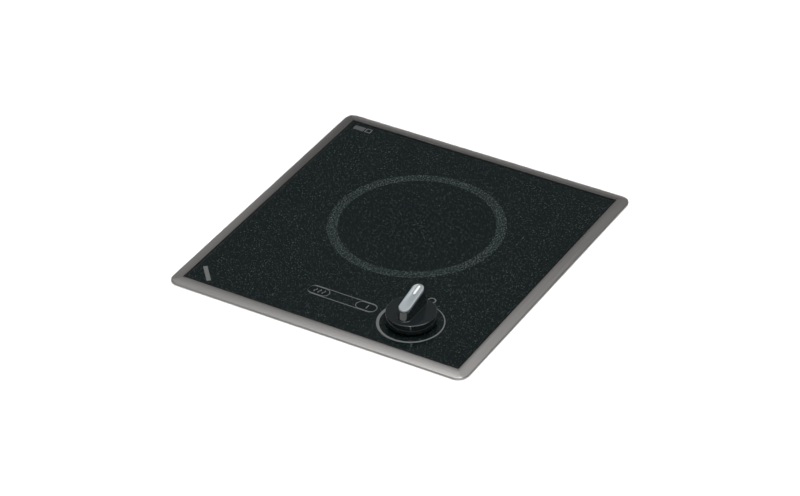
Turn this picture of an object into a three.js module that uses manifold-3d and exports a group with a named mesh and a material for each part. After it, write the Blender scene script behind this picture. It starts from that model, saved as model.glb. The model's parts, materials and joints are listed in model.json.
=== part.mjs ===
// Built-in hot plate: one radiant cooking zone under a glass-ceramic top, with a push-and-turn knob.
// Millimetres, +Z up. The origin is the bottom centre of the burner box.
// X runs to the right and Y to the back.

import * as THREE from 'three';
import { mergeVertices } from 'three/addons/utils/BufferGeometryUtils.js';
import Module from 'manifold-3d';

const wasm = await Module();
wasm.setup();

// ---------------------------------------------------------------- driving dimensions

const GAP = 0.15; // clearance left between neighbouring pieces

const TRIM_WIDTH = 305;
const TRIM_DEPTH = 316;
const TRIM_CORNER_R = 11;
const BEVEL_WIDTH = 11;
const LIP_HEIGHT = 1.45;
const BEVEL_HEIGHT = 3.68;
const SHEET = 1;
const LEDGE_DROP = 2.58; // how far the ledge under the glass lies below the worktop
const LEDGE_WIDTH = 10;

const WORKTOP_Z = 56; // plane of the worktop that the trim rests on
const GLASS_TOP_Z = WORKTOP_Z + 2.42;
const GLASS_THICKNESS = 4;
const GLASS_BOTTOM_Z = GLASS_TOP_Z - GLASS_THICKNESS;
const GLASS_INSET = 12;
const GLASS_CORNER_R = 1.5;
const GLASS_HOLE_R = 6.5;
const SEALANT_INSET = 18.5; // inner edge of the bead, from the trim's outer edge

const BOX_INSET = 20.5; // from the trim's outer edge to the burner box's wall
const BOX_X = TRIM_WIDTH / 2 - BOX_INSET;
const BOX_Y = TRIM_DEPTH / 2 - BOX_INSET;
const LEDGE_BOTTOM_Z = WORKTOP_Z - LEDGE_DROP - SHEET;
const FLANGE_TOP_Z = LEDGE_BOTTOM_Z - GAP;
const FLANGE_BOTTOM_Z = FLANGE_TOP_Z - SHEET;
const FLOOR_TOP_Z = SHEET;

const ZONE = new THREE.Vector2(0, 24.5); // centre of the cooking zone
const DISH_R = 90;
const DISH_BOTTOM_Z = 26;
const DISH_TOP_Z = GLASS_BOTTOM_Z - 0.8;
const DISH_WALL = 0.8;
const INSULATION_R = DISH_R - DISH_WALL - 0.3;
const INSULATION_BASE_TOP_Z = 38;
const INSULATION_INNER_R = 75;
const LIMITER_Z = 47;

const KNOB = new THREE.Vector2(71.3, -106.5); // axis of the control shaft
const KNOB_R = 22.7;
const KNOB_BOTTOM_Z = GLASS_TOP_Z + 3;
const KNOB_TOP_Z = GLASS_TOP_Z + 12.1;
const KNOB_WALL = 1.8;
const KNOB_ROOF = 2.5;
const GRIP_HALF_WIDTH = 5.4;
const GRIP_FRONT_Y = -16;
const GRIP_BACK_Y = 17.2;
const GRIP_FRONT_Z = GLASS_TOP_Z + 22.8;
const GRIP_BACK_Z = GLASS_TOP_Z + 30.3;
const FOOT = { halfWidth: 6.5, frontY: -17.8, backY: 21.4 };
const CAP_THICKNESS = 1.6;
const POINTER = { middle: 9.5, length: 11, halfWidth: 1.05 };
const POCKET = { length: 13, halfWidth: 2, depth: 0.9 };
const SHAFT_R = 3;
const SHAFT_FLAT_X = 2.1;
const SHAFT_BOTTOM_Z = 19;
const SHAFT_TOP_Z = 79.5;
const REGULATOR = { width: 46, depth: 40, bottom: 12, top: 40 };
const BRIDGE = { halfWidth: 30, foot: 10, depth: 40, top: 43.2, sheet: 1.2 };

const HOT_LAMP_X = -23.6;
const ON_LAMP_X = 25.8;
const LAMP_Y = -106;

const GLAND = { x: 85, z: 24, boreR: 4.6, neckR: 8, headR: 10.5, nutR: 11 };
const CLAMP_AXIS_X = 137.8;
const CLAMP = { nutBottom: 7, armBottom: 11.2, armThickness: 2.5, armLength: 32, armR: 4.4 };

// ---------------------------------------------------------------- finishes

const look = (color, roughness, metalness) => ({ color, roughness, metalness });
const LOOKS = {
  glass: look(0x1b2324, 0.08, 0.0),
  steel: look(0x9a9a98, 0.35, 0.9),
  galvanised: look(0xa4a8aa, 0.5, 0.8),
  rubber: look(0x202020, 0.9, 0.0),
  fibre: look(0xe6e1d4, 0.95, 0.0),
  ribbon: look(0x6e665f, 0.6, 0.7),
  ceramic: look(0xf1ece2, 0.45, 0.0),
  blackGloss: look(0x131617, 0.15, 0.0),
  blackMatte: look(0x242628, 0.6, 0.0),
  silver: look(0xa9b3b7, 0.35, 0.6),
  white: look(0xf4f4f2, 0.4, 0.0),
  brass: look(0xc9a85a, 0.35, 0.9),
  amber: look(0xb5431c, 0.2, 0.0),
  wire: look(0x8e2f25, 0.6, 0.0),
  natural: look(0xcfc9b8, 0.5, 0.0),
};

// ---------------------------------------------------------------- solids from three.js geometries

// The geometry with only merged positions, and its faces turned outwards.
function closed(geometry) {
  const bare = geometry.clone();
  for (const attribute of ['normal', 'uv']) {
    bare.deleteAttribute(attribute);
  }
  const merged = mergeVertices(bare, 1e-4);
  const triangles = Array.from(merged.index.array);
  const position = merged.attributes.position;
  const corner = [new THREE.Vector3(), new THREE.Vector3(), new THREE.Vector3()];
  const kept = [];
  let volume = 0;
  for (let i = 0; i < triangles.length; i += 3) {
    const [a, b, c] = triangles.slice(i, i + 3);
    if (a === b || b === c || c === a) continue;
    [a, b, c].forEach((vertex, k) => corner[k].fromBufferAttribute(position, vertex));
    volume += corner[0].dot(corner[1].cross(corner[2]));
    kept.push([a, b, c]);
  }
  merged.setIndex(kept.flatMap(([a, b, c]) => (volume > 0 ? [a, b, c] : [a, c, b])));
  return merged;
}

function toManifold(geometry) {
  const g = closed(geometry);
  const vertProperties = new Float32Array(g.attributes.position.array);
  const triVerts = new Uint32Array(g.index.array);
  return new wasm.Manifold(new wasm.Mesh({ numProp: 3, vertProperties, triVerts }));
}

function fromManifold(solid) {
  const { vertProperties, triVerts } = solid.getMesh();
  const geometry = new THREE.BufferGeometry();
  geometry.setAttribute('position', new THREE.Float32BufferAttribute(vertProperties, 3));
  geometry.setIndex(Array.from(triVerts));
  return geometry;
}

const combine = (method) => (first, ...others) =>
  fromManifold(others.reduce((sum, other) => sum[method](toManifold(other)), toManifold(first)));
const join = combine('add');
const wrapped = (...parts) => fromManifold(wasm.Manifold.hull(parts.map(toManifold)));
const cut = combine('subtract');
const common = combine('intersect');

// A box given by its lowest and highest corners.
function box([x0, y0, z0], [x1, y1, z1]) {
  const geometry = new THREE.BoxGeometry(x1 - x0, y1 - y0, z1 - z0);
  return geometry.translate((x0 + x1) / 2, (y0 + y1) / 2, (z0 + z1) / 2);
}

// An upright cylinder from z0 to z1.
function rod(radius, z0, z1, sides = 20) {
  const geometry = new THREE.CylinderGeometry(radius, radius, z1 - z0, sides);
  return geometry.rotateX(Math.PI / 2).translate(0, 0, (z0 + z1) / 2);
}

// A profile of [radius, z] points turned about the Z axis.
function turned(profile, sides = 32) {
  const points = profile.map(([r, z]) => new THREE.Vector2(r, z));
  return new THREE.LatheGeometry(points, sides).rotateX(Math.PI / 2);
}

function shapeOf(points) {
  return new THREE.Shape(points.map(([x, y]) => new THREE.Vector2(x, y)));
}

// A flat shape in the XY plane, extruded from z0 to z1.
function plate(shape, z0, z1, curveSegments = 8) {
  const options = { depth: z1 - z0, bevelEnabled: false, curveSegments };
  return new THREE.ExtrudeGeometry(shape, options).translate(0, 0, z0);
}

// An outline of [x, z] points, extruded along Y over a width centred on y = 0.
function strip(outline, width) {
  return plate(shapeOf(outline), -width / 2, width / 2).rotateX(Math.PI / 2).scale(1, -1, 1);
}

function roundedRectangle(halfX, halfY, r) {
  const shape = new THREE.Shape();
  shape.absarc(halfX - r, halfY - r, r, 0, Math.PI / 2);
  shape.absarc(-halfX + r, halfY - r, r, Math.PI / 2, Math.PI);
  shape.absarc(-halfX + r, -halfY + r, r, Math.PI, 1.5 * Math.PI);
  shape.absarc(halfX - r, -halfY + r, r, 1.5 * Math.PI, 2 * Math.PI);
  return shape;
}

// A slot with round ends along Y, from y0 to y1.
function slotShape(halfWidth, y0, y1) {
  const shape = new THREE.Shape();
  shape.absarc(0, y1 - halfWidth, halfWidth, 0, Math.PI);
  shape.absarc(0, y0 + halfWidth, halfWidth, Math.PI, 2 * Math.PI);
  return shape;
}

// A prism with the trim's outline moved inwards by inset, with round corners.
function trimPrism(inset, z0, z1, cornerR) {
  return plate(roundedRectangle(TRIM_WIDTH / 2 - inset, TRIM_DEPTH / 2 - inset, cornerR), z0, z1, 10);
}

// The four corners of the trim's outline moved inwards, at one height.
function cornersAt([inset, z]) {
  const x = TRIM_WIDTH / 2 - inset;
  const y = TRIM_DEPTH / 2 - inset;
  return [[x, -y, z], [x, y, z], [-x, y, z], [-x, -y, z]];
}

function skin(levels, faces) {
  const geometry = new THREE.BufferGeometry();
  geometry.setAttribute('position', new THREE.Float32BufferAttribute(levels.flatMap(cornersAt).flat(), 3));
  geometry.setIndex(faces.flat());
  return geometry;
}

function wallFaces(low, high) {
  const faces = [];
  for (let side = 0; side < 4; side += 1) {
    const next = (side + 1) % 4;
    faces.push([4 * low + side, 4 * low + next, 4 * high + next]);
    faces.push([4 * low + side, 4 * high + next, 4 * high + side]);
  }
  return faces;
}

// A frame with mitred corners: a closed profile of [inset, z] points carried round the trim's outline.
function mitredFrame(profile) {
  return skin(profile, profile.flatMap((_, i) => wallFaces(i, (i + 1) % profile.length)));
}

// A solid block whose outline follows [inset, z] levels from bottom to top.
function mitredBlock(levels) {
  const top = 4 * (levels.length - 1);
  const ends = [[0, 2, 1], [0, 3, 2], [top, top + 1, top + 2], [top, top + 2, top + 3]];
  const walls = levels.slice(1).flatMap((_, i) => wallFaces(i, i + 1));
  return skin(levels, [...walls, ...ends]);
}

// A tube with a many-sided section along a path.
function tube(path, radius, steps, sides = 6) {
  const section = new THREE.Shape();
  for (let i = 0; i < sides; i += 1) {
    const angle = (2 * Math.PI * i) / sides;
    section[i ? 'lineTo' : 'moveTo'](radius * Math.cos(angle), radius * Math.sin(angle));
  }
  return new THREE.ExtrudeGeometry(section, { steps, extrudePath: path, bevelEnabled: false });
}

// A curve that winds about the Z axis while its radius and height change evenly.
class Winding extends THREE.Curve {
  constructor(turns, [r0, z0], [r1, z1]) {
    super();
    Object.assign(this, { turns, r0, z0, r1, z1 });
  }

  getPoint(t, target = new THREE.Vector3()) {
    const angle = 2 * Math.PI * this.turns * t;
    const r = this.r0 + (this.r1 - this.r0) * t;
    return target.set(r * Math.cos(angle), r * Math.sin(angle), this.z0 + (this.z1 - this.z0) * t);
  }
}

// ---------------------------------------------------------------- the assembly

const group = new THREE.Group();

function add(name, geometry, lookName, x = 0, y = 0, parent = group) {
  const mesh = new THREE.Mesh(closed(geometry), new THREE.MeshStandardMaterial(LOOKS[lookName]));
  mesh.name = name;
  mesh.position.set(x, y, 0);
  parent.add(mesh);
}

// A pan-head screw from below: head, then shank up to z1.
function screwUp(headR, shankR, headBottom, headHeight, z1) {
  const shoulder = headBottom + headHeight;
  return turned([
    [0, headBottom], [headR * 0.7, headBottom], [headR, headBottom + headHeight * 0.5],
    [headR, shoulder], [shankR, shoulder], [shankR, z1], [0, z1],
  ], 10);
}

// The same screw from above.
function screwDown(headR, shankR, headTop, headHeight, z0) {
  return screwUp(headR, shankR, 0, headHeight, headTop - z0).scale(1, 1, -1).translate(0, 0, headTop);
}

// ---------------------------------------------------------------- trim, glass and seals

const FLANGE_SCREW_INSET = 15.6;
const FLANGE_SCREWS = [
  ...[-1, 1].flatMap((sx) => [-100, 100].map((y) => [sx * (TRIM_WIDTH / 2 - FLANGE_SCREW_INSET), y])),
  ...[-1, 1].map((sy) => [0, sy * (TRIM_DEPTH / 2 - FLANGE_SCREW_INSET)]),
];
const SCREW_HOLE_R = 2.15;
const SCREW_SHANK_R = 1.95;
const BEVEL_SLOPE = (BEVEL_HEIGHT - LIP_HEIGHT) / BEVEL_WIDTH;
const UNDERSIDE_DROP = SHEET * Math.hypot(1, BEVEL_SLOPE);

const undersideZ = (inset) => WORKTOP_Z + LIP_HEIGHT + BEVEL_SLOPE * inset - UNDERSIDE_DROP;
const drilled = (geometry, points, radius, z0, z1) =>
  cut(geometry, ...points.map(([x, y]) => rod(radius, z0, z1, 12).translate(x, y, 0)));

function trimFrame() {
  const legInset = BEVEL_WIDTH - SHEET;
  const bevel = common(
    mitredBlock([[0, WORKTOP_Z], [0, WORKTOP_Z + LIP_HEIGHT], [BEVEL_WIDTH, WORKTOP_Z + BEVEL_HEIGHT]]),
    trimPrism(0, WORKTOP_Z - 1, WORKTOP_Z + BEVEL_HEIGHT + 1, TRIM_CORNER_R),
  );
  const hollow = common(
    mitredBlock([[0, WORKTOP_Z - 2], [0, undersideZ(0)], [legInset, undersideZ(legInset)]]),
    trimPrism(SHEET, WORKTOP_Z - 1, WORKTOP_Z + BEVEL_HEIGHT, TRIM_CORNER_R - SHEET),
  );
  const window = mitredBlock([[BEVEL_WIDTH, WORKTOP_Z - 1], [BEVEL_WIDTH, WORKTOP_Z + BEVEL_HEIGHT + 1]]);
  const ledgeTop = LEDGE_BOTTOM_Z + SHEET;
  const legAndLedge = mitredFrame([
    [legInset, LEDGE_BOTTOM_Z], [legInset + LEDGE_WIDTH, LEDGE_BOTTOM_Z],
    [legInset + LEDGE_WIDTH, ledgeTop], [BEVEL_WIDTH, ledgeTop],
    [BEVEL_WIDTH, undersideZ(legInset) + 0.3], [legInset, undersideZ(legInset) + 0.3],
  ]);
  return drilled(join(cut(bevel, hollow, window), legAndLedge), FLANGE_SCREWS, SCREW_HOLE_R,
    LEDGE_BOTTOM_Z - 1, ledgeTop + 1);
}

function glassTop() {
  const blank = trimPrism(GLASS_INSET, GLASS_BOTTOM_Z, GLASS_TOP_Z, GLASS_CORNER_R);
  return drilled(blank, [KNOB.toArray()], GLASS_HOLE_R, GLASS_BOTTOM_Z - 1, GLASS_TOP_Z + 1);
}

function glassSealant() {
  const low = LEDGE_BOTTOM_Z + SHEET + GAP;
  const high = GLASS_BOTTOM_Z - GAP;
  const top = GLASS_TOP_Z - 0.8;
  return mitredFrame([
    [BEVEL_WIDTH + GAP, low], [SEALANT_INSET, low], [SEALANT_INSET, high],
    [GLASS_INSET - GAP, high], [GLASS_INSET - GAP, top], [BEVEL_WIDTH + GAP, top],
  ]);
}

function trimGasket() {
  const [outer, inner] = [1.8, 9.6];
  const frame = mitredFrame([
    [outer, WORKTOP_Z], [inner, WORKTOP_Z],
    [inner, undersideZ(inner) - GAP], [outer, undersideZ(outer) - GAP],
  ]);
  return common(frame, trimPrism(outer, WORKTOP_Z - 1, WORKTOP_Z + 5, TRIM_CORNER_R - outer));
}

// ---------------------------------------------------------------- burner box

const BRIDGE_FOOT_X = BRIDGE.halfWidth + BRIDGE.foot / 2;
const BRIDGE_SCREWS = [-1, 1].map((side) => [KNOB.x + side * BRIDGE_FOOT_X, KNOB.y]);
const EARTH_SCREW = [120, 100];

function boxVents() {
  const cuts = [];
  const floorSlot = (x, y) => box([x - 1.6, y - 15, -1], [x + 1.6, y + 15, FLOOR_TOP_Z + 1]);
  const sideSlot = (x, y) => box([x - 2, y - 1.6, 30], [x + 2, y + 1.6, 44]);
  const endSlot = (x, y) => box([x - 1.6, y - 2, 30], [x + 1.6, y + 2, 44]);
  for (let i = -4; i <= 4; i += 1) {
    cuts.push(floorSlot(i * 10, 70), floorSlot(i * 10, -25));
    cuts.push(endSlot(-60 + i * 9, BOX_Y - SHEET / 2));
  }
  for (let i = 0; i < 5; i += 1) {
    for (const side of [-1, 1]) {
      cuts.push(sideSlot(side * (BOX_X - SHEET / 2), 40 + i * 9));
      cuts.push(sideSlot(side * (BOX_X - SHEET / 2), -40 - i * 9));
    }
  }
  return cuts;
}

function burnerBox() {
  const blank = mitredBlock([[BOX_INSET, 0], [BOX_INSET, FLANGE_TOP_Z]]);
  const flange = mitredBlock([[BEVEL_WIDTH + GAP, FLANGE_BOTTOM_Z], [BEVEL_WIDTH + GAP, FLANGE_TOP_Z]]);
  const inside = mitredBlock([[BOX_INSET + SHEET, FLOOR_TOP_Z], [BOX_INSET + SHEET, FLANGE_TOP_Z + 1]]);
  const glandHole = rod(GLAND.neckR + 0.2, -3, 3, 24).rotateX(Math.PI / 2);
  const atGland = glandHole.translate(GLAND.x, BOX_Y, GLAND.z);
  const shell = cut(join(blank, flange), inside, atGland, ...boxVents());
  const flangeDrilled = drilled(shell, FLANGE_SCREWS, SCREW_HOLE_R, FLANGE_BOTTOM_Z - 1, FLANGE_TOP_Z + 1);
  return drilled(flangeDrilled, [...BRIDGE_SCREWS, EARTH_SCREW], SCREW_HOLE_R, -1, FLOOR_TOP_Z + 1);
}

function addEnclosure() {
  add('trim_frame', trimFrame(), 'steel');
  add('glass_top', glassTop(), 'glass');
  add('glass_sealant', glassSealant(), 'rubber');
  add('trim_gasket', trimGasket(), 'rubber');
  add('burner_box', burnerBox(), 'galvanised');
  const screw = screwUp(3.6, SCREW_SHANK_R, FLANGE_BOTTOM_Z - GAP - 2.4, 2.4, LEDGE_BOTTOM_Z + SHEET - 0.1);
  FLANGE_SCREWS.forEach(([x, y], i) => add(`flange_screw_${i + 1}`, screw, 'steel', x, y));
}

// ---------------------------------------------------------------- radiant element

function elementDish() {
  const [low, high] = [DISH_BOTTOM_Z, DISH_TOP_Z];
  const shell = turned([
    [0, low], [DISH_R, low], [DISH_R, high], [DISH_R - DISH_WALL, high],
    [DISH_R - DISH_WALL, low + DISH_WALL], [0, low + DISH_WALL],
  ], 64);
  return cut(shell, box([-DISH_R - 5, -3.5, LIMITER_Z - 3.5], [-DISH_R + 5, 3.5, high + 1]));
}

function insulationRing() {
  const low = INSULATION_BASE_TOP_Z + GAP;
  const ring = turned([
    [INSULATION_INNER_R, low], [INSULATION_R, low], [INSULATION_R, GLASS_BOTTOM_Z - 0.3],
    [INSULATION_INNER_R, GLASS_BOTTOM_Z - 0.3], [INSULATION_INNER_R, low],
  ], 64);
  const rodHole = rod(2.7, -20, 20, 12).rotateY(Math.PI / 2).translate(-DISH_R + 8, 0, LIMITER_Z);
  return cut(ring, rodHole);
}

function heatingRibbon() {
  const height = 3;
  const spiral = new Winding(6, [14, 0], [70, 0]);
  const section = shapeOf([[-height / 2, -0.4], [height / 2, -0.4], [height / 2, 0.4], [-height / 2, 0.4]]);
  const options = { steps: 102, extrudePath: spiral, bevelEnabled: false };
  const ribbon = new THREE.ExtrudeGeometry(section, options);
  return ribbon.translate(0, 0, INSULATION_BASE_TOP_Z + GAP + height / 2);
}

function elementSpring() {
  const [base, top, t] = [FLOOR_TOP_Z + GAP, DISH_BOTTOM_Z - GAP, SHEET];
  return strip([
    [-24, base], [-13, base], [-8, top - t], [8, top - t], [13, base], [24, base],
    [24, base + t], [13 + t, base + t], [8 + t, top], [-8 - t, top], [-13 - t, base + t], [-24, base + t],
  ], 16);
}

function elementTerminalBlock() {
  const frontY = -DISH_R - 10.9;
  const body = box([-17, frontY, 35], [17, -DISH_R - 0.4, 49]);
  const wells = [-8, 8].map((x) => rod(3, 42, 50, 12).translate(x, -DISH_R - 5.6, 0));
  return cut(body, ...wells);
}

function addElement() {
  const element = new THREE.Group();
  element.position.set(ZONE.x, ZONE.y, 0);
  group.add(element);
  const place = (name, geometry, lookName, x = 0, y = 0) => add(name, geometry, lookName, x, y, element);
  place('element_dish', elementDish(), 'galvanised');
  const base = rod(INSULATION_R, DISH_BOTTOM_Z + DISH_WALL + GAP, INSULATION_BASE_TOP_Z, 64);
  place('insulation_base', base, 'fibre');
  place('insulation_ring', insulationRing(), 'fibre');
  place('heating_ribbon', heatingRibbon(), 'ribbon');
  const limiter = rod(2.3, -DISH_R - 1.5, 58, 12).rotateY(Math.PI / 2);
  place('limiter_rod', limiter.translate(0, 0, LIMITER_Z), 'ceramic');
  place('limiter_head', box([-DISH_R - 28, -11, 38], [-DISH_R - 2, 11, 53]), 'ceramic');
  place('element_terminal_block', elementTerminalBlock(), 'ceramic');
  place('element_spring_left', elementSpring(), 'steel', -45);
  place('element_spring_right', elementSpring(), 'steel', 45);
}

// ---------------------------------------------------------------- energy regulator and shaft

const FACE = { bottom: REGULATOR.top + GAP, thickness: 1.5, collarR: 5, collarTop: 50.5 };
const CAM = { bottom: 22, top: 30, innerR: 11, rise: 4 };
const COLLAR = { bottom: 37.9, top: 39.9, radius: 5 };
const SHAFT_BORE = 0.12; // clearance of a keyed bore on the shaft

// A round bore with one flat for the shaft, as a solid to cut with.
function shaftBore(z0, z1) {
  const radius = SHAFT_R + SHAFT_BORE;
  const flat = box([SHAFT_FLAT_X + SHAFT_BORE, -radius - 1, z0 - 1], [radius + 1, radius + 1, z1 + 1]);
  return cut(rod(radius, z0, z1, 24), flat);
}

function regulatorBridge() {
  const { halfWidth, foot, depth, top, sheet } = BRIDGE;
  const base = FLOOR_TOP_Z + GAP;
  const outline = [
    [-halfWidth - foot, base], [-halfWidth, base], [-halfWidth, top - sheet], [halfWidth, top - sheet],
    [halfWidth, base], [halfWidth + foot, base], [halfWidth + foot, base + sheet],
    [halfWidth + sheet, base + sheet], [halfWidth + sheet, top], [-halfWidth - sheet, top],
    [-halfWidth - sheet, base + sheet], [-halfWidth - foot, base + sheet],
  ];
  const bent = drilled(strip(outline, depth), [[-BRIDGE_FOOT_X, 0], [BRIDGE_FOOT_X, 0]], SCREW_HOLE_R, 0, 5);
  return cut(bent, rod(FACE.collarR + 0.3, top - 3, top + 1, 20));
}

function regulatorBody() {
  const { width, depth, bottom, top } = REGULATOR;
  const body = box([-width / 2, -depth / 2, bottom], [width / 2, depth / 2, top]);
  return cut(body, rod(18, bottom + 2, top + 1, 32));
}

function regulatorFace() {
  const { width, depth } = REGULATOR;
  const top = FACE.bottom + FACE.thickness;
  const flat = box([-width / 2, -depth / 2, FACE.bottom], [width / 2, depth / 2, top]);
  const collared = join(flat, rod(FACE.collarR, top - 0.5, FACE.collarTop, 20));
  return cut(collared, rod(SHAFT_R + 0.3, FACE.bottom - 1, FACE.collarTop + 1, 24));
}

function shaftCam() {
  const sides = 36;
  const outline = [];
  for (let i = 0; i <= sides; i += 1) {
    const angle = (2 * Math.PI * i) / sides;
    const r = CAM.innerR + (CAM.rise * i) / sides;
    outline.push([r * Math.cos(angle), r * Math.sin(angle)]);
  }
  return cut(plate(shapeOf(outline), CAM.bottom, CAM.top), shaftBore(CAM.bottom - 1, CAM.top + 1));
}

function controlShaft() {
  const flat = (z0, z1) => box([SHAFT_FLAT_X, -5, z0], [5, 5, z1]);
  const round = rod(SHAFT_R, SHAFT_BOTTOM_Z, SHAFT_TOP_Z, 24);
  const lowFlat = flat(SHAFT_BOTTOM_Z - 1, COLLAR.bottom - 0.5);
  const bar = cut(round, lowFlat, flat(KNOB_BOTTOM_Z + 0.5, SHAFT_TOP_Z + 1));
  return join(bar, rod(COLLAR.radius, COLLAR.bottom, COLLAR.top, 24));
}

function shaftSeal() {
  const bore = SHAFT_R + 0.3;
  const neck = GLASS_HOLE_R - 0.25;
  return turned([
    [bore, GLASS_BOTTOM_Z - 0.4], [neck, GLASS_BOTTOM_Z - 0.4], [neck, GLASS_TOP_Z + GAP],
    [neck + 2.5, GLASS_TOP_Z + GAP], [neck + 2, GLASS_TOP_Z + 0.8], [bore, GLASS_TOP_Z + 0.8],
    [bore, GLASS_BOTTOM_Z - 0.4],
  ], 24);
}

function addRegulator(control) {
  const place = (name, geometry, lookName, x = 0, y = 0) => add(name, geometry, lookName, x, y, control);
  place('regulator_bracket', regulatorBridge(), 'galvanised');
  place('regulator_body', regulatorBody(), 'natural');
  place('regulator_face', regulatorFace(), 'galvanised');
  const nut = rod(8, BRIDGE.top + GAP, BRIDGE.top + GAP + 3, 6);
  place('regulator_nut', cut(nut, rod(FACE.collarR + 0.2, BRIDGE.top - 1, BRIDGE.top + 5, 20)), 'brass');
  const blade = box([-3.15, -0.4, 3], [3.15, 0.4, REGULATOR.bottom - GAP]);
  place('regulator_tab_supply', blade, 'brass', 14);
  place('regulator_tab_load', blade, 'brass', -14);
  place('shaft_cam', shaftCam(), 'natural');
  const helix = new Winding(4.5, [4.2, CAM.top + 0.8], [4.2, COLLAR.bottom - 0.8]);
  place('push_spring', tube(helix, 0.45, 45), 'steel');
  place('control_shaft', controlShaft(), 'steel');
  place('shaft_seal', shaftSeal(), 'rubber');
  const bridgeScrew = screwDown(3.6, SCREW_SHANK_R, FLOOR_TOP_Z + BRIDGE.sheet + 2 * GAP + 2.4, 2.4, 0.1);
  place('bracket_screw_left', bridgeScrew, 'steel', -BRIDGE_FOOT_X);
  place('bracket_screw_right', bridgeScrew, 'steel', BRIDGE_FOOT_X);
}

// ---------------------------------------------------------------- control knob

const GRIP_SLOPE = Math.atan2(GRIP_BACK_Z - GRIP_FRONT_Z, GRIP_BACK_Y - GRIP_FRONT_Y);
const GRIP_MIDDLE_Z = (GRIP_BACK_Z + GRIP_FRONT_Z) / 2;
const GRIP_MIDDLE_Y = (GRIP_BACK_Y + GRIP_FRONT_Y) / 2;

// Tilts a solid drawn about z = 0 into the sloping plane of the grip's top, lowered by depth.
function onGripSlope(geometry, depth = 0) {
  return geometry.translate(0, 0, -depth).rotateX(GRIP_SLOPE).translate(0, GRIP_MIDDLE_Y, GRIP_MIDDLE_Z);
}

const gripShape = slotShape(GRIP_HALF_WIDTH, GRIP_FRONT_Y, GRIP_BACK_Y);
const gripPrism = (z0, z1) => plate(gripShape, z0, z1, 10);
const aboveSlope = (depth) => onGripSlope(box([-30, -40, 0], [30, 40, 30]), depth);
const belowSlope = (depth) => onGripSlope(box([-30, -40, -30], [30, 40, 0]), depth);
const along = (halfWidth, length, z0, z1) =>
  plate(slotShape(halfWidth, POINTER.middle - length / 2, POINTER.middle + length / 2), z0, z1, 6);

// The grip below the cap: it widens evenly from the cap's outline down to the foot.
function grip() {
  const foot = plate(slotShape(FOOT.halfWidth, FOOT.frontY, FOOT.backY), KNOB_TOP_Z - 1, KNOB_TOP_Z, 10);
  const seat = CAP_THICKNESS + GAP;
  const rim = cut(gripPrism(GRIP_FRONT_Z - 10, GRIP_BACK_Z + 5), aboveSlope(seat), belowSlope(seat + 0.2));
  return wrapped(foot, rim);
}

function knobBody() {
  const roof = KNOB_TOP_Z - KNOB_ROOF;
  const skirt = turned([
    [0, roof - 4], [6.2, roof - 4], [6.2, roof], [KNOB_R - KNOB_WALL, roof],
    [KNOB_R - KNOB_WALL, KNOB_BOTTOM_Z], [KNOB_R, KNOB_BOTTOM_Z], [KNOB_R, KNOB_TOP_Z - 0.4],
    [KNOB_R - 0.4, KNOB_TOP_Z], [0, KNOB_TOP_Z],
  ], 64);
  return cut(join(skirt, grip()), shaftBore(KNOB_BOTTOM_Z - 1, SHAFT_TOP_Z + 0.3));
}

function knobCap() {
  const prism = gripPrism(GRIP_FRONT_Z - 10, GRIP_BACK_Z + 5);
  const pocket = onGripSlope(along(POCKET.halfWidth, POCKET.length, -POCKET.depth, 2));
  return cut(prism, aboveSlope(0), belowSlope(CAP_THICKNESS), pocket);
}

function pointerLine() {
  return onGripSlope(along(POINTER.halfWidth, POINTER.length, GAP - POCKET.depth, -0.1));
}

function knobClip() {
  const ring = new THREE.Shape();
  ring.absarc(0, 0, 7.1, 0.5, 2 * Math.PI - 0.5);
  ring.absarc(0, 0, 6.4, 2 * Math.PI - 0.5, 0.5, true);
  const high = KNOB_TOP_Z - KNOB_ROOF - 0.7;
  return plate(ring, high - 2.8, high, 20);
}

function addKnob(control) {
  add('knob_body', knobBody(), 'blackGloss', 0, 0, control);
  add('knob_cap', knobCap(), 'silver', 0, 0, control);
  add('pointer_line', pointerLine(), 'white', 0, 0, control);
  add('knob_clip', knobClip(), 'steel', 0, 0, control);
}

// ---------------------------------------------------------------- lamps

const LAMP_PLATE = { left: -42, right: 38, top: 44.2, sheet: 1.2, backY: -92, drop: 12 };

function lampBracket() {
  const { left, right, top, sheet, backY, drop } = LAMP_PLATE;
  const frontY = -BOX_Y + SHEET + GAP;
  const shelf = box([left, frontY, top - sheet], [right, backY, top]);
  const leg = box([left, frontY, top - drop], [right, frontY + sheet, top]);
  const lampHoles = [[HOT_LAMP_X, LAMP_Y], [ON_LAMP_X, LAMP_Y]];
  return drilled(join(shelf, leg), lampHoles, 5.2, top - 3, top + 1);
}

function lamp() {
  const shoulder = LAMP_PLATE.top + GAP;
  return turned([
    [0, 30], [3.2, 30], [3.2, 34], [5, 34], [5, shoulder], [6.5, shoulder], [6.5, shoulder + 1.2],
    [5, shoulder + 1.2], [5, 48], [3.5, 49.8], [0, 50.5],
  ], 20);
}

function addLamps() {
  add('lamp_bracket', lampBracket(), 'galvanised');
  const lens = plate(slotShape(4.6, -10.3, 10.3), 51.1, GLASS_BOTTOM_Z - GAP).rotateZ(Math.PI / 2);
  for (const [name, x] of [['hot', HOT_LAMP_X], ['on', ON_LAMP_X]]) {
    add(`${name}_lamp`, lamp(), 'amber', x, LAMP_Y);
    add(`${name}_lens`, lens, 'amber', x, LAMP_Y);
  }
}

// ---------------------------------------------------------------- supply and wiring

const BLOCK = { x: 85, y: 108, halfX: 23, halfY: 10, top: 17 };

function mainsTerminalBlock() {
  const base = FLOOR_TOP_Z + GAP;
  const body = box([-BLOCK.halfX, -BLOCK.halfY, base], [BLOCK.halfX, BLOCK.halfY, BLOCK.top]);
  const wells = [-14, 0, 14].map((x) => rod(3.4, 9, BLOCK.top + 1, 12).translate(x, 0, 0));
  return cut(body, ...wells);
}

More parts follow.
